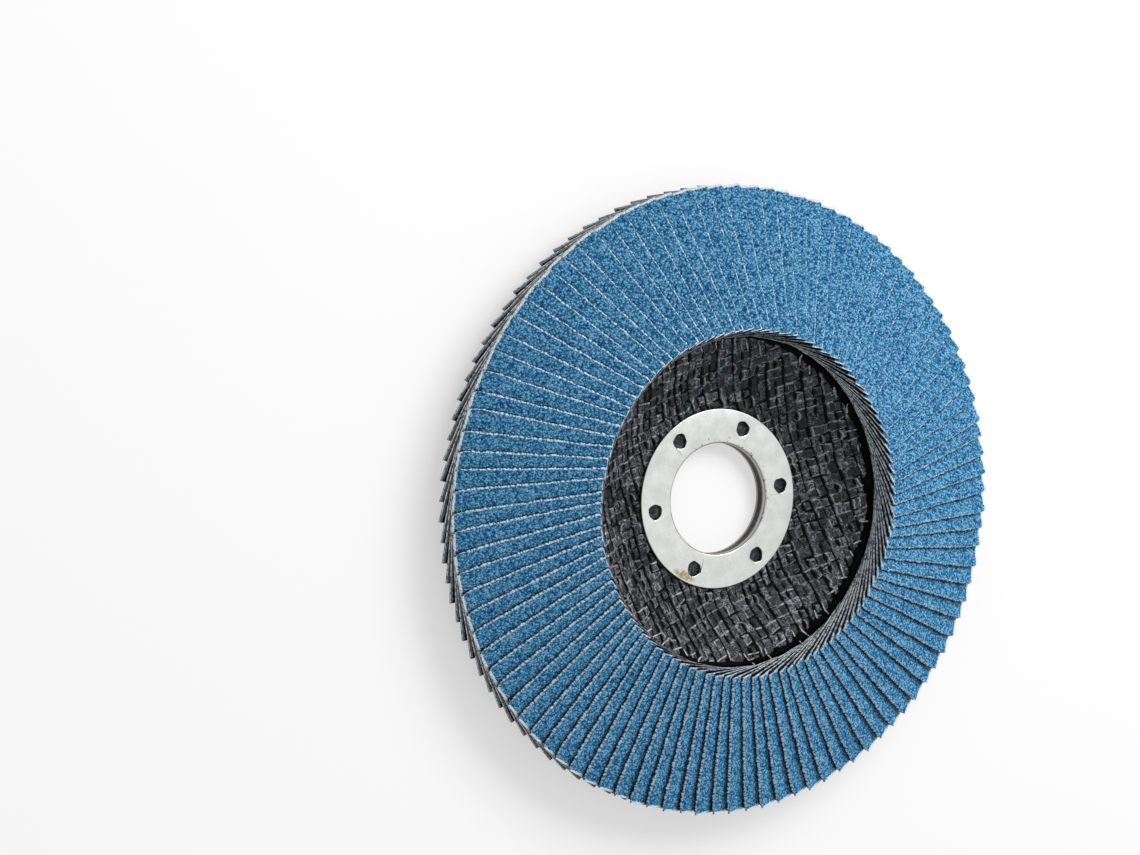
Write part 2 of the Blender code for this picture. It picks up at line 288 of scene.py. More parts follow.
def plated_steel(colours):
    """Zinc-plated steel, pressed and tumbled: a satin off-white with rubbed marks, specks and one stain."""
    material, add, place = new_material("zinc_plated_steel_satin")
    # Cloudy plating, in patches of about 3 mm
    cloud = add("TexNoise", {"Vector": place, "Scale": cycles(3), "Detail": 4, "Roughness": 0.6})
    cloudy = add("MapRange", {0: cloud, 1: 0.3, 2: 0.75}, **SMOOTH)
    dull = [0.86 * part for part in colours.steel]
    plating = add("Mix", {0: cloudy, 6: dull, 7: colours.steel}, **IN_COLOUR)
    # A darker, yellowish colour on the bore's lip and the sheared outer edge
    flat = add("VectorMath", {0: place, 1: (1, 1, 0)}, operation="MULTIPLY")
    radius = add("VectorMath", {0: flat}, operation="LENGTH")
    lip = add("MapRange", {0: radius, 1: 11.6 * MM, 2: 11.2 * MM}, **SMOOTH)
    rim = add("MapRange", {0: radius, 1: 17.8 * MM, 2: 18.0 * MM}, **SMOOTH)
    edges = add("Math", {0: lip, 1: rim}, operation="MAXIMUM")
    thin = add("Mix", {0: edges, 6: plating, 7: colours.worn}, **IN_COLOUR)
    # Rubbed marks of about 0.9 mm in a band round the bore, most of them on one side
    axes = add("SeparateXYZ", {0: place})
    inner = add("MapRange", {0: radius, 1: 13.4 * MM, 2: 11.4 * MM}, **SMOOTH)
    side = add("MapRange", {0: axes.outputs[1], 1: 12 * MM, 2: -11 * MM}, **SMOOTH)
    band = add("Math", {0: inner, 1: side}, operation="MULTIPLY")
    marks = add("TexNoise", {"Vector": place, "Scale": cycles(0.9), "Detail": 6, "Roughness": 0.72})
    reach = add("Math", {0: band, 1: 0.12, 2: marks}, operation="MULTIPLY_ADD")
    scuffed = add("MapRange", {0: reach, 1: 0.66, 2: 0.76}, **SMOOTH)
    # Single specks of dirt, about 0.5 mm across and some 5 mm apart
    grains = add("TexVoronoi", {"Vector": place, "Scale": cycles(5.2), "Randomness": 1.0})
    specks = add("MapRange", {0: grains, 1: 0.075, 2: 0.03}, **SMOOTH)
    worn = add("Math", {0: scuffed, 1: specks}, operation="MAXIMUM")
    # A yellow stain beside one hole, 5 mm long
    spot = add("Mapping", {"Vector": place, "Location": (-0.6 * MM, -16.9 * MM, 0)})
    oval = add("VectorMath", {0: spot, 1: (0.36, 1.1, 0)}, operation="MULTIPLY")
    away = add("VectorMath", {0: oval}, operation="LENGTH")
    blot = add("TexNoise", {"Vector": place, "Scale": cycles(1.1), "Detail": 5, "Roughness": 0.7})
    ragged = add("Math", {0: blot, 1: 1.8 * MM, 2: away}, operation="MULTIPLY_ADD")
    patch = add("MapRange", {0: ragged, 1: 2.0 * MM, 2: 1.5 * MM}, **SMOOTH)
    swirl = add("Math", {0: blot, 1: 0.5, 2: 0.055}, operation="COMPARE")
    film = add("Math", {0: swirl, 1: 0.75, 2: 0.15}, operation="MULTIPLY_ADD")
    stain = add("Math", {0: patch, 1: film}, operation="MULTIPLY")
    dirt = add("MapRange", {0: blot, 1: 0.62, 2: 0.7}, **SMOOTH)
    crust = add("Math", {0: patch, 1: dirt}, operation="MULTIPLY")
    yellow = add("Mix", {0: stain, 6: thin, 7: colours.rust}, **IN_COLOUR)
    dark = add("Math", {0: worn, 1: crust}, operation="MAXIMUM")
    surface = add("Mix", {0: dark, 6: yellow, 7: colours.scuff}, **IN_COLOUR)
    dirty = add("Math", {0: dark, 1: stain}, operation="MAXIMUM")
    metal = add("MapRange", {0: dirty, 3: 1.0, 4: 0.35})
    rough = add("MapRange", {0: cloud, 1: 0.3, 2: 0.7, 3: 0.22, 4: 0.32})
    # The tumbled surface: dents too fine to show at 0.1 mm are drawn at 0.6 mm
    dents = add("TexNoise", {"Vector": place, "Scale": cycles(0.6), "Detail": 3})
    bump = add("Bump", {"Strength": 0.25, "Distance": 0.02 * MM, "Height": dents})
    finish = {"Base Color": surface, "Metallic": metal, "Roughness": rough, "Normal": bump}
    add("OutputMaterial", {0: add("BsdfPrincipled", finish)})
    return material


def bore_steel_painted_dark(colours):
    """The inside of the drawn collar: a metal painted dark with the bore's reflection and shade, and pale
    at its top.
    """
    material, add, place = new_material("collar_steel_painted_dark")
    # Draw marks run down the bore and are about 0.4 mm apart
    drawn = add("Mapping", {"Vector": place, "Scale": (1, 1, 0.1)})
    marks = add("TexNoise", {"Vector": drawn, "Scale": cycles(0.4), "Detail": 3})
    bright = add("MapRange", {0: marks, 1: 0.35, 2: 0.7}, **SMOOTH)
    pale = [1.6 * part for part in colours.bore]
    painted_dark_wall = add("Mix", {0: bright, 6: colours.bore, 7: pale}, **IN_COLOUR)
    # The upper third is pale in the plating's colour and the wall below is dark: painted reflection and
    # shade of the bore
    height = add("SeparateXYZ", {0: place}).outputs[2]
    plated = add("MapRange", {0: height, 1: 2.1 * MM, 2: 3.0 * MM, 4: 0.6}, **SMOOTH)
    surface = add("Mix", {0: plated, 6: painted_dark_wall, 7: colours.steel}, **IN_COLOUR)
    finish = {"Base Color": surface, "Metallic": 1, "Roughness": 0.42}
    add("OutputMaterial", {0: add("BsdfPrincipled", finish)})
    return material


def glass_laminate(colours):
    """Woven glass in black phenolic resin, pressed: flat glossy tapes, black slits with painted shade, and
    painted highlights on the tape edges.
    """
    material, add, place = new_material("black_phenolic_glass_cloth")
    turned = add("Mapping", {"Vector": place, "Rotation": (0, 0, math.radians(45))})
    # Bundles of 0.15 mm run along each tape; they are drawn 0.42 mm wide, so that they show
    along = add("Mapping", {"Vector": turned, "Scale": (0.22, 1, 1)})
    across = add("Mapping", {"Vector": turned, "Scale": (1, 0.22, 1)})
    bundle = {"Scale": cycles(0.42), "Detail": 4, "Roughness": 0.7}
    warp = add("TexNoise", {"Vector": along, **bundle})
    weft = add("TexNoise", {"Vector": across, **bundle})
    which = add("Attribute", attribute_name="warp_on_top").outputs["Fac"]
    bundles = add("Mix", {0: which, 2: weft, 3: warp}, data_type="FLOAT")
    # Each tape's own shade, and lighter streaks along its bundles: the strands' own texture and painted
    # glints of the glossy resin
    tone = add("Attribute", attribute_name="tone").outputs["Fac"]
    tone_and_glints = add("Math", {0: tone, 1: 0.26, 2: bundles}, operation="MULTIPLY_ADD")
    thin = add("MapRange", {0: tone_and_glints, 1: 0.49, 2: 0.95}, **SMOOTH)
    tape = add("Mix", {0: thin, 6: colours.glass, 7: colours.glass_streak_and_glint}, **IN_COLOUR)
    # Fine folds in the resin skin, about 1.5 mm apart, and tape edges get painted highlights in the colour
    # of bare glass; loose strand ends take that pale colour as their own
    wrinkle = add("TexNoise", {"Vector": place, "Scale": cycles(1.5), "Detail": 2, "Distortion": 0.6})
    middle = add("Math", {0: wrinkle, 1: 0.5}, operation="SUBTRACT")
    off_fold = add("Math", {0: middle}, operation="ABSOLUTE")
    fold = add("MapRange", {0: off_fold, 1: 0.022, 2: 0.004, 4: 0.7}, **SMOOTH)
    fold_glints = add("Math", {0: fold, 1: tone}, operation="MULTIPLY")
    edges = add("Attribute", attribute_name="rubbed").outputs["Fac"]
    patchy = add("MapRange", {0: bundles, 1: 0.36, 2: 0.56}, **SMOOTH)
    rubbed = add("Math", {0: edges, 1: patchy}, operation="MULTIPLY")
    worn = add("Math", {0: rubbed, 1: fold_glints}, operation="MAXIMUM")
    strand = add("Mix", {0: worn, 6: tape, 7: colours.bare_glass_and_glint}, **IN_COLOUR)
    # Slits and gaps are black: the resin in them, and painted shade of the hollows
    deep = add("Attribute", attribute_name="depth").outputs["Fac"]
    hollow = add("MapRange", {0: deep, 1: 0.2, 2: 0.75}, **SMOOTH)
    black = add("Mix", {0: hollow, 6: strand, 7: colours.resin}, **IN_COLOUR)
    # A 12 mm scratch that holds blue grit dust, beside the ring
    lie = {"Location": (13.35 * MM, -18.4 * MM, 0), "Rotation": (0, 0, math.radians(-10))}
    scratch = add("Mapping", {"Vector": place, **lie}, vector_type="TEXTURE")
    off = add("VectorMath", {0: scratch}, operation="ABSOLUTE")
    sides = add("SeparateXYZ", {0: off})
    narrow = add("MapRange", {0: sides, 1: 0.28 * MM, 2: 0.08 * MM}, **SMOOTH)
    short = add("MapRange", {0: sides.outputs[1], 1: 7.5 * MM, 2: 5.5 * MM}, **SMOOTH)
    lane = add("Math", {0: narrow, 1: short}, operation="MULTIPLY")
    grit = add("TexNoise", {"Vector": place, "Scale": cycles(0.7), "Detail": 4, "Roughness": 0.7})
    grains = add("MapRange", {0: grit, 1: 0.44, 2: 0.6}, **SMOOTH)
    dust = add("Math", {0: lane, 1: grains}, operation="MULTIPLY")
    surface = add("Mix", {0: dust, 6: black, 7: colours.grit_light}, **IN_COLOUR)
    smooth = add("MapRange", {0: bundles, 1: 0.3, 2: 0.7, 3: 0.42, 4: 0.2})
    rough = add("Math", {0: smooth, 1: hollow}, operation="MAXIMUM")
    bump = add("Bump", {"Strength": 0.9, "Distance": 0.18 * MM, "Height": bundles})
    finish = {"Base Color": surface, "Specular IOR Level": 0.2, "Roughness": rough, "Normal": bump}
    add("OutputMaterial", {0: add("BsdfPrincipled", finish)})
    return material


def cut_laminate(colours):
    """The sawn edge of the glass laminate: matt, with pale fibre ends in grey-black resin."""
    material, add, place = new_material("sawn_glass_laminate")
    ends = add("TexNoise", {"Vector": place, "Scale": cycles(0.35), "Detail": 4, "Roughness": 0.7})
    pale = add("MapRange", {0: ends, 1: 0.48, 2: 0.7}, **SMOOTH)
    surface = add("Mix", {0: pale, 6: colours.glass, 7: colours.thread_shade}, **IN_COLOUR)
    bump = add("Bump", {"Strength": 0.5, "Distance": 0.05 * MM, "Height": ends})
    finish = {"Base Color": surface, "Roughness": 0.7, "Normal": bump}
    add("OutputMaterial", {0: add("BsdfPrincipled", finish)})
    return material


def black_resin(colours):
    """Black epoxy adhesive, squeezed out and cured: lumpy, dull and nearly black."""
    material, add, place = new_material("black_epoxy_adhesive")
    lumps = add("TexNoise", {"Vector": place, "Scale": cycles(1.4), "Detail": 4, "Roughness": 0.6})
    # Near-black: the epoxy's own colour, and painted shade of the crevice under the flaps' inner ends
    grey = [2.0 * part for part in colours.resin]
    raised = add("MapRange", {0: lumps, 1: 0.45, 2: 0.7}, **SMOOTH)
    surface = add("Mix", {0: raised, 6: colours.resin, 7: grey}, **IN_COLOUR)
    rough = add("MapRange", {0: lumps, 1: 0.3, 2: 0.7, 3: 0.55, 4: 0.85})
    bump = add("Bump", {"Strength": 0.8, "Distance": 0.3 * MM, "Height": lumps})
    finish = {"Base Color": surface, "Roughness": rough, "Specular IOR Level": 0.06, "Normal": bump}
    add("OutputMaterial", {0: add("BsdfPrincipled", finish)})
    return material


def blue_grit(colours, flap):
    """Zirconia grain in blue resin on cloth: a matt speckle with painted highlights on the grains and
    painted shade in the pits, pale frayed ends, and painted shade where the next flap covers it.
    """
    material, add, place = new_material("blue_zirconia_grit")
    # Grains of 0.25 mm are drawn at 0.38 mm, so that they show: each grain's own shade, a painted highlight
    # on its crown and painted shade in the pits between them
    grains = add("TexVoronoi", {"Vector": place, "Scale": cycles(0.38), "Randomness": 1})
    shade = add("SeparateColor", {0: grains.outputs["Color"]})
    crown = add("MapRange", {0: grains, 1: 0.85, 2: 0.25, 4: 0.52})
    tone = add("Math", {0: shade, 1: 0.48, 2: crown}, operation="MULTIPLY_ADD")
    ramp = add("ValToRGB", {0: tone})
    bands = ramp.color_ramp.elements
    bands[0].position, bands[0].color = 0.18, (*colours.grit_dark, 1)
    bands[1].position, bands[1].color = 0.88, (*colours.grit_light, 1)
    bands.new(0.5).color = (*colours.grit, 1)
    # Grain chipped off along the cut edge, up to 0.2 mm wide and uneven over 1 mm
    edge = add("SeparateXYZ", {0: add("UVMap", uv_map="cloth")})
    along, across = edge.outputs[0], edge.outputs[1]
    chips = add("TexNoise", {"Vector": place, "Scale": cycles(1.1), "Detail": 6, "Roughness": 0.75})
    width = add("MapRange", {0: chips, 1: 0.35, 2: 0.7, 3: -0.16 * MM, 4: 0.2 * MM}, clamp=False)
    past_chip = add("Math", {0: width, 1: across}, operation="SUBTRACT")
    chipped = add("MapRange", {0: past_chip, 1: -0.04 * MM, 2: 0.05 * MM}, **SMOOTH)
    # Thread bared at both ends, about 0.15 mm wide at the inner end and 0.4 mm at the outer
    to_end = add("Math", {0: flap.length, 1: along}, operation="SUBTRACT")
    outer = add("Math", {0: to_end, 1: 0.4 * MM}, operation="SUBTRACT")
    inner = add("Math", {0: along, 1: 0.14 * MM}, operation="SUBTRACT")
    nearest = add("Math", {0: outer, 1: inner}, operation="MINIMUM")
    past_end = add("Math", {0: width, 1: nearest}, operation="SUBTRACT")
    frayed = add("MapRange", {0: past_end, 1: -0.05 * MM, 2: 0.05 * MM}, **SMOOTH)
    # Ends that the next flap covers get painted shade, the dark of the shade under that flap: they show
    # only in the two stepped walls
    under_inner = add("MapRange", {0: across, 1: 1.8 * MM, 2: 2.2 * MM}, **SMOOTH)
    near_inner = add("MapRange", {0: along, 1: 2.6 * MM, 2: 2.2 * MM}, **SMOOTH)
    inside = add("Math", {0: under_inner, 1: near_inner}, operation="MULTIPLY")
    under_outer = add("MapRange", {0: across, 1: 3.5 * MM, 2: 4.1 * MM}, **SMOOTH)
    near_outer = add("MapRange", {0: to_end, 1: 3.4 * MM, 2: 2.6 * MM}, **SMOOTH)
    outside = add("Math", {0: under_outer, 1: near_outer}, operation="MULTIPLY")
    painted_shade = add("Math", {0: inside, 1: outside}, operation="MAXIMUM")
    coat = add("Mix", {0: painted_shade, 6: ramp, 7: colours.resin_and_painted_shade}, **IN_COLOUR)
    chalky = add("Mix", {0: chipped, 6: coat, 7: colours.chip}, **IN_COLOUR)
    # Painted shade also dims the pale threads at the covered ends
    shade_over_threads = add("Math", {0: painted_shade, 1: 0.7}, operation="MULTIPLY")
    bared = add("Math", {0: frayed, 1: shade_over_threads}, operation="SUBTRACT", use_clamp=True)
    surface = add("Mix", {0: bared, 6: chalky, 7: colours.thread}, **IN_COLOUR)
    rough = add("MapRange", {0: shade, 3: 0.62, 4: 0.95})
    bump = add("Bump", {"Strength": 0.9, "Distance": 0.2 * MM, "Height": tone})
    finish = {"Base Color": surface, "Roughness": rough, "Specular IOR Level": 0.1, "Normal": bump}
    add("OutputMaterial", {0: add("BsdfPrincipled", finish)})
    return material


def cloth_back(colours):
    """Sized polyester cloth on the back of a flap: a matt fine weave."""
    material, add, place = new_material("sized_polyester_cloth")
    cloth = add("UVMap", uv_map="cloth")
    # Threads of 0.45 mm, which the eye just makes out
    threads = {"Vector": cloth, "Scale": cycles(0.45) / (2 * math.pi), "Distortion": 0.4}
    rows = add("TexWave", threads).outputs[1]
    columns = add("TexWave", threads, bands_direction="Y").outputs[1]
    weave = add("Math", {0: rows, 1: columns}, operation="MULTIPLY")
    stain = add("TexNoise", {"Vector": place, "Scale": cycles(5), "Detail": 4})
    tone = add("Math", {0: weave, 1: stain}, operation="ADD")
    light = add("MapRange", {0: tone, 1: 0.3, 2: 1.2}, **SMOOTH)
    dark = [0.6 * part for part in colours.cloth]
    surface = add("Mix", {0: light, 6: dark, 7: colours.cloth}, **IN_COLOUR)
    bump = add("Bump", {"Strength": 0.5, "Distance": 0.06 * MM, "Height": weave})
    finish = {"Base Color": surface, "Roughness": 0.9, "Normal": bump}
    add("OutputMaterial", {0: add("BsdfPrincipled", finish)})
    return material


def cut_edge(colours):
    """The long cut face of a flap: white fibre along its top, and painted shade below it."""
    material, add, place = new_material("cut_cloth_side")
    cut = add("SeparateXYZ", {0: add("UVMap", uv_map="cloth")})
    along, level = cut.outputs[0], cut.outputs[1]
    fibres = add("TexNoise", {"Vector": place, "Scale": cycles(0.7), "Detail": 6, "Roughness": 0.75})
    reach = add("Math", {0: level, 1: 0.55, 2: fibres}, operation="MULTIPLY_ADD")
    pale = add("MapRange", {0: reach, 1: 0.62, 2: 0.8}, **SMOOTH)
    # Thread ends some 0.5 mm apart, and loose fibres dusted with grit
    ends = add("TexNoise", {"W": along, "Scale": cycles(0.5), "Detail": 0}, noise_dimensions="1D")
    dots = add("MapRange", {0: ends, 1: 0.4, 2: 0.55, 3: 0.28}, **SMOOTH)
    dotted = add("Math", {0: pale, 1: dots}, operation="MULTIPLY")
    loose = add("MapRange", {0: level, 1: 1.2, 2: 1.4})
    shown = add("Math", {0: dotted, 1: loose}, operation="MAXIMUM")
    # Below the pale fibres the face is painted dark, as the shade of the step over the next flap
    surface = add("Mix", {0: shown, 6: colours.resin_and_painted_shade, 7: colours.chip}, **IN_COLOUR)
    bump = add("Bump", {"Strength": 0.6, "Distance": 0.08 * MM, "Height": fibres})
    finish = {"Base Color": surface, "Roughness": 0.9, "Specular IOR Level": 0.1, "Normal": bump}
    add("OutputMaterial", {0: add("BsdfPrincipled", finish)})
    return material


def thread_ends(colours):
    """The short cut ends of a flap: a pale line of thread ends, with painted shade along their lower edge.
    """
    material, add, place = new_material("cut_thread_ends")
    level = add("SeparateXYZ", {0: add("UVMap", uv_map="cloth")}).outputs[1]
    # Threads lie in bundles of about 1.5 mm, some with more resin; their ends are beads of 0.55 mm
    wear = add("TexNoise", {"Vector": place, "Scale": cycles(1.5), "Detail": 3, "Roughness": 0.6})
    beads = add("TexNoise", {"Vector": place, "Scale": cycles(0.55), "Detail": 0})
    cleaner = add("Math", {0: beads, 1: 1.4, 2: wear}, operation="MULTIPLY_ADD")
    clean = add("MapRange", {0: cleaner, 1: 1.02, 2: 1.22}, **SMOOTH)
    thread = add("Mix", {0: clean, 6: colours.thread_shade, 7: colours.thread}, **IN_COLOUR)
    # The lower part of each end is painted dark, as the shade between one flap and the next
    reach = add("Math", {0: wear, 1: 0.4, 2: level}, operation="MULTIPLY_ADD")
    pale = add("MapRange", {0: reach, 1: 0.4, 2: 0.5}, **SMOOTH)
    surface = add("Mix", {0: pale, 6: colours.resin_and_painted_shade, 7: thread}, **IN_COLOUR)
    bump = add("Bump", {"Strength": 0.5, "Distance": 0.06 * MM, "Height": wear})
    finish = {"Base Color": surface, "Roughness": 0.85, "Specular IOR Level": 0.1, "Normal": bump}
    add("OutputMaterial", {0: add("BsdfPrincipled", finish)})
    return material


def turn_outward(shape):
    """Makes the normals of every closed body point out of it."""
    shape.normal_update()
    bmesh.ops.recalc_face_normals(shape, faces=shape.faces)
    left = set(shape.faces)
    while left:
        body = [left.pop()]
        for face in body:
            near = {other for edge in face.edges for other in edge.link_faces} & left
            left -= near
            body += near
        start = body[0].verts[0].co
        volume = sum(
            (face.calc_center_median() - start).dot(face.normal) * face.calc_area() for face in body
        )
        if volume < 0:
            bmesh.ops.reverse_faces(shape, faces=body)


def mesh_from(name, shape):
    """A mesh from a bmesh, which is used up."""
    mesh = bpy.data.meshes.new(name)
    shape.to_mesh(mesh)
    shape.free()
    return mesh


def add_object(name, data):
    """A new object in the scene, at the origin."""
    made = bpy.data.objects.new(name, data)
    bpy.context.collection.objects.link(made)
    return made


def piece_from(name, shape, materials, node):
    """Makes a finished piece from a bmesh: it rides on the disc and stands for a CAD node."""
    turn_outward(shape)
    mesh = mesh_from(name, shape)
    for material in materials:
        mesh.materials.append(material)
    mesh.shade_smooth()
    mesh.set_sharp_from_angle(angle=SHARP_EDGE)
    piece = add_object(name, mesh)
    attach(piece, "root")
    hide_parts(node)


def arc(centre, radius, start, end, count):
    """Points on a circular arc in the (radius, height) plane."""
    turns = [start + (end - start) * step / (count - 1) for step in range(count)]
    return [(centre[0] + radius * math.cos(a), centre[1] + radius * math.sin(a)) for a in turns]


def spin_outline(shape, outline, steps):
    """Turns a closed (radius, height) outline about the disc's axis."""
    points = [shape.verts.new((radius, 0, height)) for radius, height in outline]
    edges = [shape.edges.new((points[i - 1], points[i])) for i in range(len(points))]
    bmesh.ops.spin(
        shape,
        geom=points + edges,
        axis=(0, 0, 1),
        cent=(0, 0, 0),
        angle=2 * math.pi,
        steps=steps,
        use_merge=True,
    )
    bmesh.ops.recalc_face_normals(shape, faces=shape.faces[:])


class FLAPDISC_OT_rings(bpy.types.Operator):
    """Makes the front ring with its collar, lip and lock holes, and the back ring"""

    bl_idname = "flap_disc.rings"
    bl_label = "Arbor Rings"
    steps, hole_steps = 144, 28
    # The collar ends a little above the back seat; above its swaged foot its inside takes the dark bore
    # material
    recess, swaged = 0.1 * MM, 0.8 * MM
    chamfer, hole_edge = 0.1 * MM, 0.13 * MM
    # How near a point counts as on the bore and on the front face, and what counts as a hole's corner
    by_bore, by_face, corner = 0.05 * MM, 0.01 * MM, math.radians(50)
    # A worn punch leaves holes out of round: share of the radius, lobes, and turn from hole to hole
    ripples = ((0.05, 3, 2.1), (0.03, 6, 0.7))

    def execute(self, context):
        ring = context.scene.flap_disc_ring
        plate = context.scene.flap_disc_plate
        colours = context.scene.flap_disc_colours
        steel = plated_steel(colours)
        self.front(ring, steel, bore_steel_painted_dark(colours))
        self.back(ring, plate, steel)
        return {"FINISHED"}

    def front(self, ring, steel, dark_bore):
        """The pressed flange, its drawn collar and the punched holes."""
        hub_front = ring.face - ring.sheet
        outer = ring.bore + ring.collar
        lip = (ring.bore + ring.lip, ring.face - ring.lip)
        rim = (ring.radius - ring.edge, ring.face - ring.edge)
        outline = [
            (ring.bore, self.recess + self.chamfer),
            (ring.bore, self.swaged),
            *arc(lip, ring.lip, math.pi, math.pi / 2, 8),
            *arc(rim, ring.edge, math.pi / 2, 0, 5),
            (ring.radius, hub_front),
            (outer + self.chamfer, hub_front),
            (outer, hub_front - self.chamfer),
            (outer, self.recess),
            (ring.bore + self.chamfer, self.recess),
        ]
        flange = bmesh.new()
        spin_outline(flange, outline, self.steps)
        circle = (outer + ring.radius) / 2
        punches = bmesh.new()
        for step in range(ring.holes):
            turn = ring.start + step * 2 * math.pi / ring.holes
            spot = Vector((circle * math.cos(turn), circle * math.sin(turn), hub_front + ring.sheet / 2))
            made = bmesh.ops.create_cone(
                punches,
                cap_ends=True,
                segments=self.hole_steps,
                radius1=ring.hole / 2,
                radius2=ring.hole / 2,
                depth=4 * ring.sheet,
                matrix=Matrix.Translation(spot),
            )["verts"]
            for vert in made:
                away = vert.co.xy - spot.xy
                side = math.atan2(away.y, away.x)
                waves = (part * math.cos(lobes * side + slip * step) for part, lobes, slip in self.ripples)
                vert.co.xy = spot.xy + away * (1 + sum(waves))
        shape = self.punched(flange, punches)
        sharp = [
            edge
            for edge in shape.edges
            if all(abs(vert.co.z - ring.face) < self.by_face for vert in edge.verts)
            and edge.calc_face_angle(0) > self.corner
        ]
        bmesh.ops.bevel(
            shape, geom=sharp, offset=self.hole_edge, segments=3, profile=0.5, affect="EDGES", material=-1
        )
        for face in shape.faces:
            middle = face.calc_center_median()
            in_bore = middle.xy.length < ring.bore + self.by_bore
            below_lip = self.swaged < middle.z < ring.face - 0.8 * ring.lip
            face.material_index = int(in_bore and below_lip)
        piece_from("plated_front_ring", shape, [steel, dark_bore], "front_arbor_ring")

    @staticmethod
    def punched(flange, punches):
        """The flange with the punches cut out of it, as a bmesh."""
        body = add_object("flange", mesh_from("flange", flange))
        tool = add_object("punches", mesh_from("punches", punches))
        cut = body.modifiers.new("lock holes", "BOOLEAN")
        cut.operation = "DIFFERENCE"
        cut.object = tool
        cut.solver = "EXACT"
        holed = bpy.data.meshes.new_from_object(body.evaluated_get(bpy.context.evaluated_depsgraph_get()))
        for made in (body, tool):
            bpy.data.objects.remove(made)
        shape = bmesh.new()
        shape.from_mesh(holed)
        return shape

    def back(self, ring, plate, steel):
        """The washer that seats on the grinder's flange."""
        inner = ring.bore + ring.collar + plate.glue
        rim = (ring.radius - ring.edge, ring.edge)
        outline = [
            (inner + self.chamfer, 0),
            (inner, self.chamfer),
            (inner, ring.sheet),
            (ring.radius, ring.sheet),
            *arc(rim, ring.edge, 0, -math.pi / 2, 5),
        ]
        shape = bmesh.new()
        spin_outline(shape, outline, self.steps)
        piece_from("plated_back_ring", shape, [steel], "back_arbor_ring")


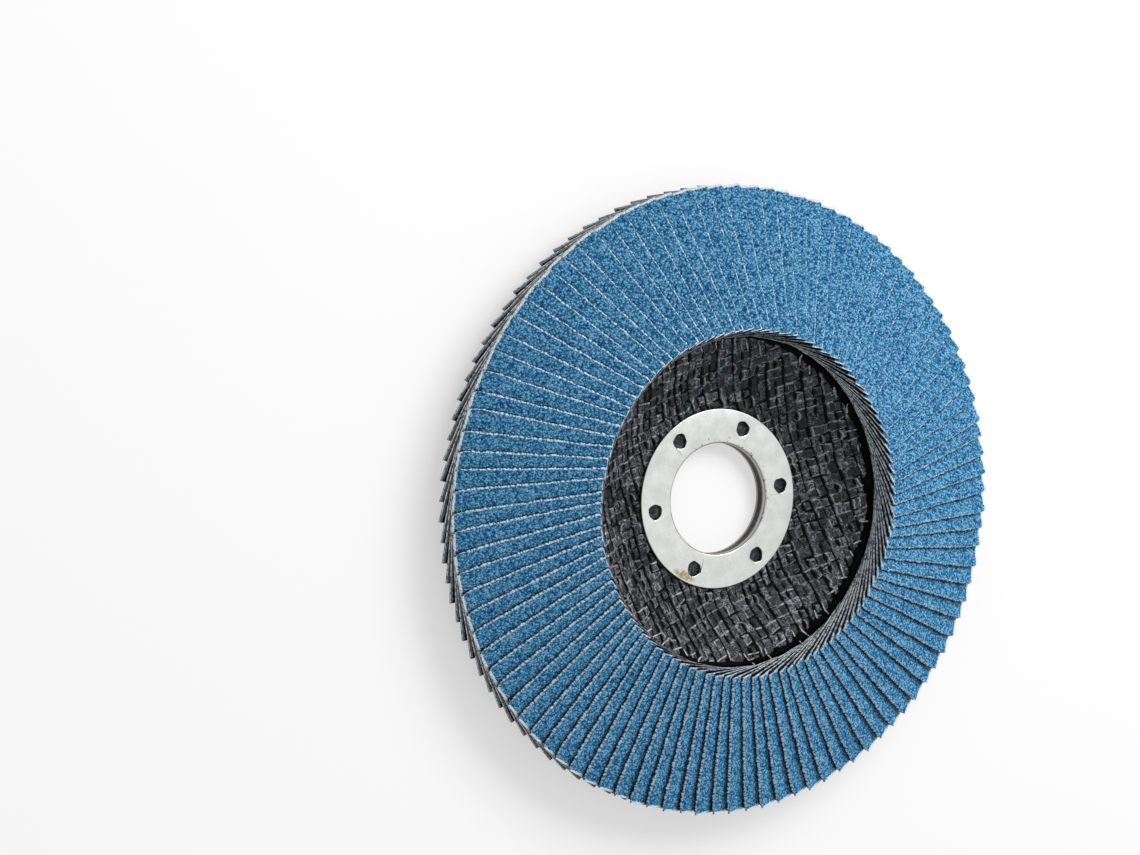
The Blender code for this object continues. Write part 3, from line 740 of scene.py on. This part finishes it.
class FLAPDISC_OT_plate(bpy.types.Operator):
    """Makes the woven front and back layers of the plate, and gives the core layers their finish"""

    bl_idname = "flap_disc.plate"
    bl_label = "Glass Plate"
    # Steps round the turned body, round the skin's underside and along the dish
    steps, underside, dish_steps = 128, 256, 12
    # Cells of the grid to one warp and one weft strand
    front_cells, back_cells = (9, 11), (4, 5)
    # Depth of the woven skin, and how far it sinks into the turned body
    skin, sunk = 0.5 * MM, 0.05 * MM
    # What a point of the skin tells its material
    signs = ("depth", "warp_on_top", "rubbed", "tone")
    # Highest and lowest point of the weave, in millimetres
    crown, hollow = 0.34, -0.42
    # Loose strand ends, and the radii that they lie between, in millimetres
    stray_strands, stray_mm = 64, (30.5, 31.9)

    def execute(self, context):
        form = Shape()
        plate = form.plate
        colours = context.scene.flap_disc_colours
        sawn = cut_laminate(colours)
        self.laminate = glass_laminate(colours)
        self.draws = random.Random(plate.seed)
        # Noise vectors differ from run to run unless their seed is set
        noise.seed_set(plate.seed)
        back_drop = 3 * (plate.ply + plate.glue) + plate.ply
        # Each skin starts a little under its ring
        front_span = (form.ring.radius - 0.3 * MM, form.crest_radius + 0.4 * MM)
        back_span = (form.ring.radius - 0.4 * MM, plate.radius)
        self.layer("woven_front_ply", form, "front_glass_ply", 0, 1, front_span, self.front_cells)
        self.layer("woven_back_ply", form, "back_glass_ply", back_drop, -1, back_span, self.back_cells)
        for node in ("front_core_ply", "rear_core_ply"):
            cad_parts[node].material_slots[0].material = sawn
        return {"FINISHED"}

    def layer(self, name, form, node, drop, side, span, cells):
        """One outer layer: a turned body with a woven skin on its outward side.

        side is 1 for the front and -1 for the back; drop is that side's depth below the plate's front.
        """
        plate = form.plate
        shape = bmesh.new()
        marks = {sign: shape.verts.layers.float.new(sign) for sign in self.signs}
        sleeved = form.ring.bore + form.ring.collar + plate.glue
        rise = form.crest_radius - plate.hub
        dish = [plate.hub + rise * i / self.dish_steps for i in range(self.dish_steps + 1)]
        radii = [sleeved, span[0], *[r for r in dish if span[0] < r < span[1]], span[1]]
        if span[1] < plate.radius:
            radii += [form.crest_radius + 1 * MM, plate.radius]
        outside = []
        for radius in radii:
            inset = self.skin - self.sunk if span[0] <= radius <= span[1] else 0
            outside.append((radius, form.plate_front(radius) - drop - side * inset))
        inside = [(r, form.plate_front(r) - drop - side * plate.ply) for r in reversed(radii)]
        spin_outline(shape, outside + inside, self.steps)
        # A depth sign of 0.3 paints a little shade on the turned body, as seen in the lock holes
        for vert in shape.verts:
            vert[marks["depth"]] = 0.3
            vert[marks["tone"]] = 0.3
        self.weave(shape, form, drop, side, span, cells, marks)
        if side > 0:
            self.strays(shape, form, marks)
        piece_from(name, shape, [self.laminate], node)

    def weave(self, shape, form, drop, side, span, cells, marks):
        """The woven skin: a grid along the strands, cut to a ring, raised by strand and closed below."""
        plate = form.plate
        step_s, step_w = plate.weft / cells[1], plate.warp / cells[0]
        half_s = math.ceil(span[1] / step_s) * step_s
        half_w = math.ceil(span[1] / step_w) * step_w
        made = bmesh.ops.create_grid(
            shape, x_segments=round(2 * half_s / step_s), y_segments=round(2 * half_w / step_w), size=1
        )["verts"]
        for vert in made:
            s, w = vert.co.x * half_s, vert.co.y * half_w
            vert.co = ((s + w) / math.sqrt(2), (w - s) / math.sqrt(2), 0)
        faces = list({face for vert in made for face in vert.link_faces})
        outside = [face for face in faces if not span[0] < face.calc_center_median().xy.length < span[1]]
        bmesh.ops.delete(shape, geom=outside, context="FACES")
        skin = [face for face in faces if face.is_valid]
        woven = {vert for face in skin for vert in face.verts}
        middle = (span[0] + span[1]) / 2
        for vert in woven:
            radius = vert.co.xy.length
            if vert.is_boundary:
                limit = span[0] if radius < middle else span[1]
                vert.co.xy *= limit / radius
                radius = limit
            height, signs = self.weave_at(vert.co.x / MM, vert.co.y / MM, plate)
            # The rings press the cloth flat under them and for 0.5 mm beyond
            pressed = min(1, max(0, (form.ring.radius + 0.5 * MM - radius) / (0.45 * MM)))
            raised = height * (1 - 0.3 * pressed) - 0.2 * MM * pressed
            vert.co.z = form.plate_front(radius) - drop + side * raised
            for mark, value in signs.items():
                vert[marks[mark]] = value
        rims = list({edge for vert in woven for edge in vert.link_edges if edge.is_boundary})
        grown = bmesh.ops.extrude_edge_only(shape, edges=rims)["geom"]
        foot = [item for item in grown if isinstance(item, bmesh.types.BMVert)]
        # The lower rims are welded into even steps, far below for a moment so that they can be told apart
        far_below = -1
        step = 2 * math.pi / self.underside
        for vert in foot:
            limit = span[0] if vert.co.xy.length < middle else span[1]
            turn = round(math.atan2(vert.co.y, vert.co.x) / step) * step
            vert.co = (limit * math.cos(turn), limit * math.sin(turn), far_below)
        bmesh.ops.remove_doubles(shape, verts=foot, dist=0.01 * MM)
        hems = [edge for edge in shape.edges if edge.is_boundary]
        spokes = bmesh.ops.bridge_loops(shape, edges=hems)["edges"]
        bmesh.ops.subdivide_edges(shape, edges=spokes, cuts=round((span[1] - span[0]) / (1.2 * MM)))
        for vert in shape.verts:
            if vert.co.z < far_below / 2:
                vert.co.z = form.plate_front(vert.co.xy.length) - drop - side * self.skin

    def weave_at(self, x, y, plate):
        """Height of the plain weave in metres, and its signs; x, y and the sizes here are in mm."""
        # The strands wander: by up to 0.5 mm over some 9 mm, and by up to 0.2 mm over some 2 mm
        spot = Vector((x, y, 0))
        drift = noise.noise_vector(spot * 0.11) * 0.5 + noise.noise_vector(spot * 0.45) * 0.22
        s = (x - y) / math.sqrt(2) + drift.x
        w = (x + y) / math.sqrt(2) + drift.y
        weft, warp = plate.weft / MM, plate.warp / MM
        j, i = math.floor(s / weft), math.floor(w / warp)
        p, q = 2 * (w / warp - i) - 1, 2 * (s / weft - j) - 1
        weft_up = (i + j) % 2 == 0
        # Chances of the tape, of the slit beside it and of the gap at its end
        bound, hem = i + (p > 0), j + (q > 0)
        own = noise.cell_vector(Vector((i + 0.5, j + 0.5, 0.5)))
        slit = noise.cell_vector(Vector((bound + 0.5, j + 0.5, 7.5)))
        gap = noise.cell_vector(Vector((i // 2 + 0.5, hem + 0.5, 9.5)))
        creased = noise.noise(Vector((s * 1.6, w * 1.6, 3)))
        # Black slits beside the warp: long ones after every second strand, short ones between
        from_side = (1 - abs(p)) * warp / 2
        if bound % 2:
            half_slit = (0.8 * slit.x - 0.22) * (1 - q * q)
        else:
            half_slit = (0.2 + 0.36 * slit.x) * (1 - slit.y * q * q) + 0.08 * creased
            half_slit *= min(1, 0.25 + 2.5 * slit.z)
        # Gaps beside the weft, which hang from the long slits
        from_hem = (1 - abs(q)) * weft / 2
        half_gap = (0.85 * gap.x - 0.24) * (1 - (w / warp / 2 - i // 2) / (0.3 + 0.6 * gap.y))
        deep = 1 - min(from_side / max(half_slit, 0.01), from_hem / max(half_gap, 0.01), 1) ** 2
        # Lips and tape edges get a painted highlight, in the colour of glass rubbed bare
        lip = max(0, 1 - abs(from_side - half_slit - 0.1) / 0.16) * (p > 0) * max(0, 2.6 * slit.z - 1.3)
        edge = max(0, 1 - abs(from_hem - max(half_gap, 0) - 0.1) / 0.16) * max(0, 2.4 * own.x - 1.1)
        rubbed = min(1, max(lip, edge)) * (1 - deep)
        # A tape bows across and dives at its ends; it also lies high or low, tilts and creases
        across, along = (q, p) if weft_up else (p, q)
        bow = 0.1 - 0.07 * across**2 - 0.12 * along**4
        tilt = 0.3 * (own.y - 0.5) * p + 0.3 * (own.z - 0.5) * q
        height = bow + 0.14 * (own.x - 0.5) + tilt + 0.12 * creased - 0.6 * deep
        values = (deep, float(not weft_up), rubbed, own.z)
        return min(self.crown, max(self.hollow, height)) * MM, dict(zip(self.signs, values))

    def strays(self, shape, form, marks):
        """Strand ends left loose where the cloth meets the adhesive."""
        for step in range(self.stray_strands):
            turn = (step + self.draws.uniform(0.1, 0.9)) * 2 * math.pi / self.stray_strands
            radius = self.draws.uniform(*self.stray_mm) * MM
            lie = math.radians(self.draws.choice((45, -45)) + self.draws.uniform(-14, 14))
            along = Vector((math.cos(lie), math.sin(lie)))
            spot = Vector((math.cos(turn), math.sin(turn))) * radius
            half = self.draws.uniform(0.6, 1.5) * MM
            made = bmesh.ops.create_grid(shape, x_segments=4, y_segments=1, size=1)["verts"]
            flat = list({face for vert in made for face in vert.link_faces})
            grown = bmesh.ops.extrude_face_region(shape, geom=flat)["geom"]
            upper = [item for item in grown if isinstance(item, bmesh.types.BMVert)]
            lift = self.draws.uniform(0.2, 0.42) * MM
            # A strip 0.3 mm wide and 0.09 mm thick that tapers to its ends and climbs on to the bead
            for level, verts in ((0, made), (0.09 * MM, upper)):
                for vert in verts:
                    sideways = vert.co.y * 0.15 * MM * (1 - 0.4 * abs(vert.co.x))
                    vert.co.xy = spot + along * vert.co.x * half + along.orthogonal() * sideways
                    climb = 1.5 * max(0, vert.co.xy.length - 31.8 * MM)
                    vert.co.z = form.plate_front(vert.co.xy.length) + lift + level + climb
                    vert[marks["rubbed"]] = 0.8
                    vert[marks["tone"]] = 0.9


class FLAPDISC_OT_adhesive(bpy.types.Operator):
    """Makes the adhesive under the flaps and the bead squeezed out at their inner ends"""

    bl_idname = "flap_disc.adhesive"
    bl_label = "Adhesive"
    steps = 360
    # Clearance from the flaps' inner ends, and from the plate's rim
    gap, inset = 0.15 * MM, 0.6 * MM
    # The bead's outline: share of its width, and height as a share of its full height
    rise = ((0, -0.3), (0.14, 0.06), (0.3, 0.2), (0.5, 0.35), (0.72, 0.5), (0.9, 0.62), (1, 0.66))

    def execute(self, context):
        form = Shape()
        plate, flap = form.plate, form.flap
        run = math.hypot(flap.width, flap.inner_skew)
        nearest = (form.cut_start * flap.width + form.cut_y * flap.inner_skew) / run
        bead = nearest - self.gap
        toe = bead - plate.bead_width
        outer = plate.radius - self.inset
        front = []
        for share, height in self.rise:
            radius = toe + plate.bead_width * share
            front.append((radius, form.bed_front(radius) + plate.bead_height * height))
        front += [(radius, form.bed_front(radius)) for radius in (bead, form.crest_radius, outer)]
        back = [(r, form.plate_front(r) + plate.glue) for r in (outer, form.crest_radius, bead)]
        shape = bmesh.new()
        spin_outline(shape, front + back, self.steps)
        for vert in shape.verts:
            radius = vert.co.xy.length
            if radius < bead - 0.02 * MM:
                # Lumps of 1 to 2 mm, and a toe that runs out unevenly
                lump = noise.noise(vert.co * 420) * 0.45 + noise.noise(vert.co * 1100) * 0.25
                flat = vert.co.xy.to_3d()
                ragged = 0.9 + noise.noise(flat * 330) + 0.5 * noise.noise(flat * 900)
                near_toe = (bead - radius) / plate.bead_width
                vert.co.z += min(0.2, lump) * MM
                vert.co.xy *= 1 + min(1.15, ragged) * near_toe * MM / radius
        resin = black_resin(context.scene.flap_disc_colours)
        piece_from("black_adhesive_bead", shape, [resin], "adhesive_bed")
        return {"FINISHED"}


class FLAPDISC_OT_flaps(bpy.types.Operator):
    """Makes the ring of flaps, two to a piece, each with its cut edges and loose fibres"""

    bl_idname = "flap_disc.flaps"
    bl_label = "Flaps"
    # Steps along a flap, and its rows from the cut edge to the foot
    columns = 72
    rows_mm = (0, 0.11, 0.28, 0.7, 1.4, 2.4, 3.6, 5.2, 8.5, 13, 18)
    # How far from the cut edge a flap is uneven, and how far it stands proud
    uneven_reach, proud_reach = 5 * MM, 2.2 * MM
    # Most that a cut edge stands proud, and that an end is long or short, in millimetres
    proud_mm, end_mm = 0.09, 0.12
    # Loose fibres to a flap, and their level in the UV map, above the 0 to 1 of a cut face
    fibres, loose_level = 26, 1.6
    grit_slot, back_slot, side_slot, end_slot = range(4)

    def execute(self, context):
        form = Shape()
        colours = context.scene.flap_disc_colours
        materials = [
            blue_grit(colours, form.flap),
            cloth_back(colours),
            cut_edge(colours),
            thread_ends(colours),
        ]
        draws = random.Random(form.flap.seed)
        for pair in range(form.flap.count // 2):
            shape = bmesh.new()
            cloth = shape.loops.layers.uv.new("cloth")
            for half in range(2):
                self.leaf(shape, cloth, form, draws, 2 * pair + half)
            number = f"{pair + 1:02d}"
            node = f"flap_pair_{number}"
            piece_from(f"abrasive_flaps_{number}", shape, materials, node)
        return {"FINISHED"}

    def leaf(self, shape, cloth, form, draws, index):
        """One flap: a sheet with an uneven cut edge that lies a little proud, and its loose fibres."""
        flap = form.flap
        rows = len(self.rows_mm) - 1
        made = bmesh.ops.create_grid(shape, x_segments=self.columns, y_segments=rows, size=1)["verts"]
        faces = list({face for vert in made for face in vert.link_faces})
        grown = bmesh.ops.extrude_face_region(shape, geom=faces)["geom"]
        upper = [item for item in grown if isinstance(item, bmesh.types.BMVert)]
        shift = draws.uniform(-1, 1) * flap.uneven
        tilt = draws.uniform(-1, 1) * flap.uneven
        proud = draws.uniform(0, self.proud_mm) * MM
        longer = draws.uniform(-self.end_mm, self.end_mm) * MM
        shorter = draws.uniform(-self.end_mm, self.end_mm) * MM
        turn = Matrix.Rotation(index * form.turn, 3, "Z")
        spots = {}
        for level, verts in ((1, upper), (0, made)):
            for vert in verts:
                column = round((vert.co.x + 1) / 2 * self.columns)
                row = round((vert.co.y + 1) / 2 * rows)
                share = column / self.columns
                across = self.rows_mm[row] / self.rows_mm[-1]
                reach = across * flap.width
                near = max(0, 1 - reach / self.uneven_reach)
                # Each flap reads its own line of the noise
                seed = Vector((share * 28, index * 3.7, 0))
                stray = shift + tilt * (2 * share - 1) + 0.12 * MM * noise.noise(seed * 0.35)
                y = form.cut_y + reach + stray * near
                start = form.cut_start - flap.inner_skew * across + shorter
                end = form.cut_end - flap.outer_skew * across + longer
                if column in (0, self.columns):
                    ragged = noise.noise(Vector((reach * 900, index * 1.9, column))) * 0.09 * MM
                    start, end = start + ragged, end + ragged
                if row == 0:
                    # A ragged cut, with the cloth's ledge below that narrows to the outer corner
                    y += draws.uniform(-0.07, 0.05) * MM
                    y -= (1 - level) * draws.uniform(0.6, 1.3) * flap.ledge * min(1, 8 - 8 * share)
                if row < 2 and share > 0.98:
                    # The outer corner is worn back
                    y += 0.3 * MM
                x = start + (end - start) * share
                face, back = form.flap_heights(x, y)
                z = face if level else back
                lift = proud * (1 + 0.6 * noise.noise(seed * 0.22 + Vector((0, 0, 9))))
                z += max(0, lift) * max(0, 1 - reach / self.proud_reach) ** 2
                if row == 0 and level:
                    z += draws.uniform(-0.07, 0.03) * MM
                spots[vert] = (row, level, (share * flap.length, reach))
                vert.co = turn @ Vector((x, y, z))
        for face in {face for vert in spots for face in vert.link_faces}:
            self.dress(face, cloth, spots, rows)
        self.fringe(shape, cloth, form, draws, index, turn)

    def dress(self, face, cloth, spots, rows):
        """Gives one face its material, and its place on the cloth as a UV."""
        places = [spots[vert] for vert in face.verts]
        levels = {level for row, level, spot in places}
        if len(levels) == 1:
            face.material_index = self.grit_slot if 1 in levels else self.back_slot
            for loop in face.loops:
                loop[cloth].uv = spots[loop.vert][-1]
            return
        side = {row for row, level, spot in places} in ({0}, {rows})
        face.material_index = self.side_slot if side else self.end_slot
        for loop in face.loops:
            row, level, (along, reach) = spots[loop.vert]
            loop[cloth].uv = (along if side else reach, level)

    def fringe(self, shape, cloth, form, draws, index, turn):
        """Loose fibres along the cut edge, as three-sided spikes."""
        flap = form.flap
        for step in range(self.fibres):
            share = (step + draws.uniform(0.1, 0.9)) / self.fibres
            x = form.cut_start + flap.length * share
            y = form.cut_y + draws.uniform(-0.08, 0.06) * MM
            z = form.flap_heights(x, y)[0] - draws.uniform(0.02, 0.12) * MM
            size = flap.fray * draws.uniform(0.5, 1.25)
            point = Vector((draws.uniform(-0.7, 0.7), -1, draws.uniform(-0.1, 0.6))).normalized()
            stand = point.to_track_quat("Z", "Y").to_matrix()
            spot = Matrix.Translation(turn @ (Vector((x, y, z)) + point * size * 0.3))
            made = bmesh.ops.create_cone(
                shape,
                cap_ends=True,
                segments=3,
                radius1=draws.uniform(0.05, 0.11) * MM,
                radius2=0.01 * MM,
                depth=size,
                matrix=spot @ (turn @ stand).to_4x4(),
            )["verts"]
            for fibre in {face for vert in made for face in vert.link_faces}:
                fibre.material_index = self.side_slot
                for loop in fibre.loops:
                    loop[cloth].uv = (0, self.loose_level)


class FLAPDISC_OT_stage(bpy.types.Operator):
    """Sets the floor, the lights and the camera"""

    bl_idname = "flap_disc.stage"
    bl_label = "Stage"
    sensor_mm = 36
    # Half of the card's side, and the light that it adds where the camera sees it
    card_half, card_glow = 3, 0.5
    # The soft light's two sides and its distance from the disc
    softbox_sides, softbox_reach = (0.55, 0.4), 0.7

    def execute(self, context):
        stage = context.scene.flap_disc_stage
        context.scene.view_settings.view_transform = "Standard"
        self.camera(context, stage)
        self.floor(stage)
        self.lights(context, stage)
        return {"FINISHED"}

    @staticmethod
    def away(azimuth, elevation):
        """Direction from the disc towards a place on the sky."""
        flat = math.cos(elevation)
        return Vector((flat * math.cos(azimuth), flat * math.sin(azimuth), math.sin(elevation)))

    def camera(self, context, stage):
        """The camera, turned about its own axis as in the picture."""
        back = self.away(stage.azimuth, stage.elevation)
        level = Vector((0, 0, 1)).cross(back).normalized()
        rise = back.cross(level)
        right = level * math.cos(stage.roll) + rise * math.sin(stage.roll)
        up = back.cross(right)
        lens = bpy.data.cameras.new("camera")
        lens.lens = stage.lens
        lens.sensor_width = self.sensor_mm
        lens.clip_start, lens.clip_end = 0.01, 20
        facing = Matrix((right, up, back)).transposed().to_4x4()
        camera = add_object("camera", lens)
        camera.matrix_world = Matrix.Translation(Vector(stage.aim) + back * stage.distance) @ facing
        context.scene.camera = camera

    @staticmethod
    def seen_directly(add):
        """1 for what the camera sees, straight or in a shiny or clear surface."""
        rays = add("LightPath").outputs
        shiny = add("Math", {0: rays["Is Glossy Ray"], 1: rays["Is Transmission Ray"]}, operation="MAXIMUM")
        return add("Math", {0: rays["Is Camera Ray"], 1: shiny}, operation="MAXIMUM")

    def floor(self, stage):
        """A plain white card that keeps the disc's shadow."""
        material = bpy.data.materials.new("white_card")
        add = empty_tree(material)
        card = add("BsdfDiffuse", {"Color": tuple(stage.floor)})
        glow = add("Emission", {"Color": (1, 1, 1), "Strength": self.card_glow})
        lifted = add("AddShader", {0: card, 1: glow})
        mixed = add("MixShader", {0: self.seen_directly(add), 1: card, 2: lifted})
        add("OutputMaterial", {0: mixed})
        shape = bmesh.new()
        bmesh.ops.create_grid(shape, x_segments=1, y_segments=1, size=self.card_half)
        floor = add_object("floor", mesh_from("floor", shape))
        floor.data.materials.append(material)

    def lights(self, context, stage):
        """One large soft light from the side of the picture's top, and even light all round."""
        lamp = bpy.data.lights.new("softbox", "AREA")
        lamp.shape = "RECTANGLE"
        lamp.size, lamp.size_y = self.softbox_sides
        lamp.energy = stage.key * math.pi**2 * self.softbox_reach**2
        away = self.away(stage.key_azimuth, stage.key_elevation)
        facing = away.to_track_quat("Z", "Y").to_matrix().to_4x4()
        softbox = add_object("softbox", lamp)
        softbox.matrix_world = Matrix.Translation(away * self.softbox_reach) @ facing
        world = bpy.data.worlds.new("white_room")
        add = empty_tree(world)
        room = add("Background", {"Color": (1, 1, 1), "Strength": stage.fill})
        white = add("Background", {"Color": (1, 1, 1), "Strength": 1})
        mixed = add("MixShader", {0: self.seen_directly(add), 1: room, 2: white})
        add("OutputWorld", {0: mixed})
        context.scene.world = world


class FLAPDISC_PT_panel(bpy.types.Panel):
    """Lists the disc's settings and the operators that make it"""

    bl_idname = "FLAPDISC_PT_panel"
    bl_label = "Flap Disc"
    bl_space_type = "VIEW_3D"
    bl_region_type = "UI"
    bl_category = "Flap Disc"

    def draw(self, context):
        for name, group in SETTINGS.items():
            box = self.layout.box()
            settings = getattr(context.scene, name)
            for field in group.__annotations__:
                box.prop(settings, field)
        for operator in OPERATORS:
            self.layout.operator(operator.bl_idname)


SETTINGS = {
    "flap_disc_ring": RingSettings,
    "flap_disc_plate": PlateSettings,
    "flap_disc_flaps": FlapSettings,
    "flap_disc_colours": ColourSettings,
    "flap_disc_stage": StageSettings,
}
OPERATORS = (
    FLAPDISC_OT_stage,
    FLAPDISC_OT_rings,
    FLAPDISC_OT_plate,
    FLAPDISC_OT_adhesive,
    FLAPDISC_OT_flaps,
)


def register():
    """Registers the settings, operators and panel."""
    for made in (*SETTINGS.values(), *OPERATORS, FLAPDISC_PT_panel):
        bpy.utils.register_class(made)
    for name, group in SETTINGS.items():
        setattr(bpy.types.Scene, name, PointerProperty(type=group))


def unregister():
    """Removes what register added."""
    for name in SETTINGS:
        delattr(bpy.types.Scene, name)
    for made in reversed((*SETTINGS.values(), *OPERATORS, FLAPDISC_PT_panel)):
        bpy.utils.unregister_class(made)


def main():
    """Makes the whole disc."""
    register()
    bpy.ops.flap_disc.stage()
    bpy.ops.flap_disc.rings()
    bpy.ops.flap_disc.plate()
    bpy.ops.flap_disc.adhesive()
    bpy.ops.flap_disc.flaps()


if __name__ == "__main__":
    main()
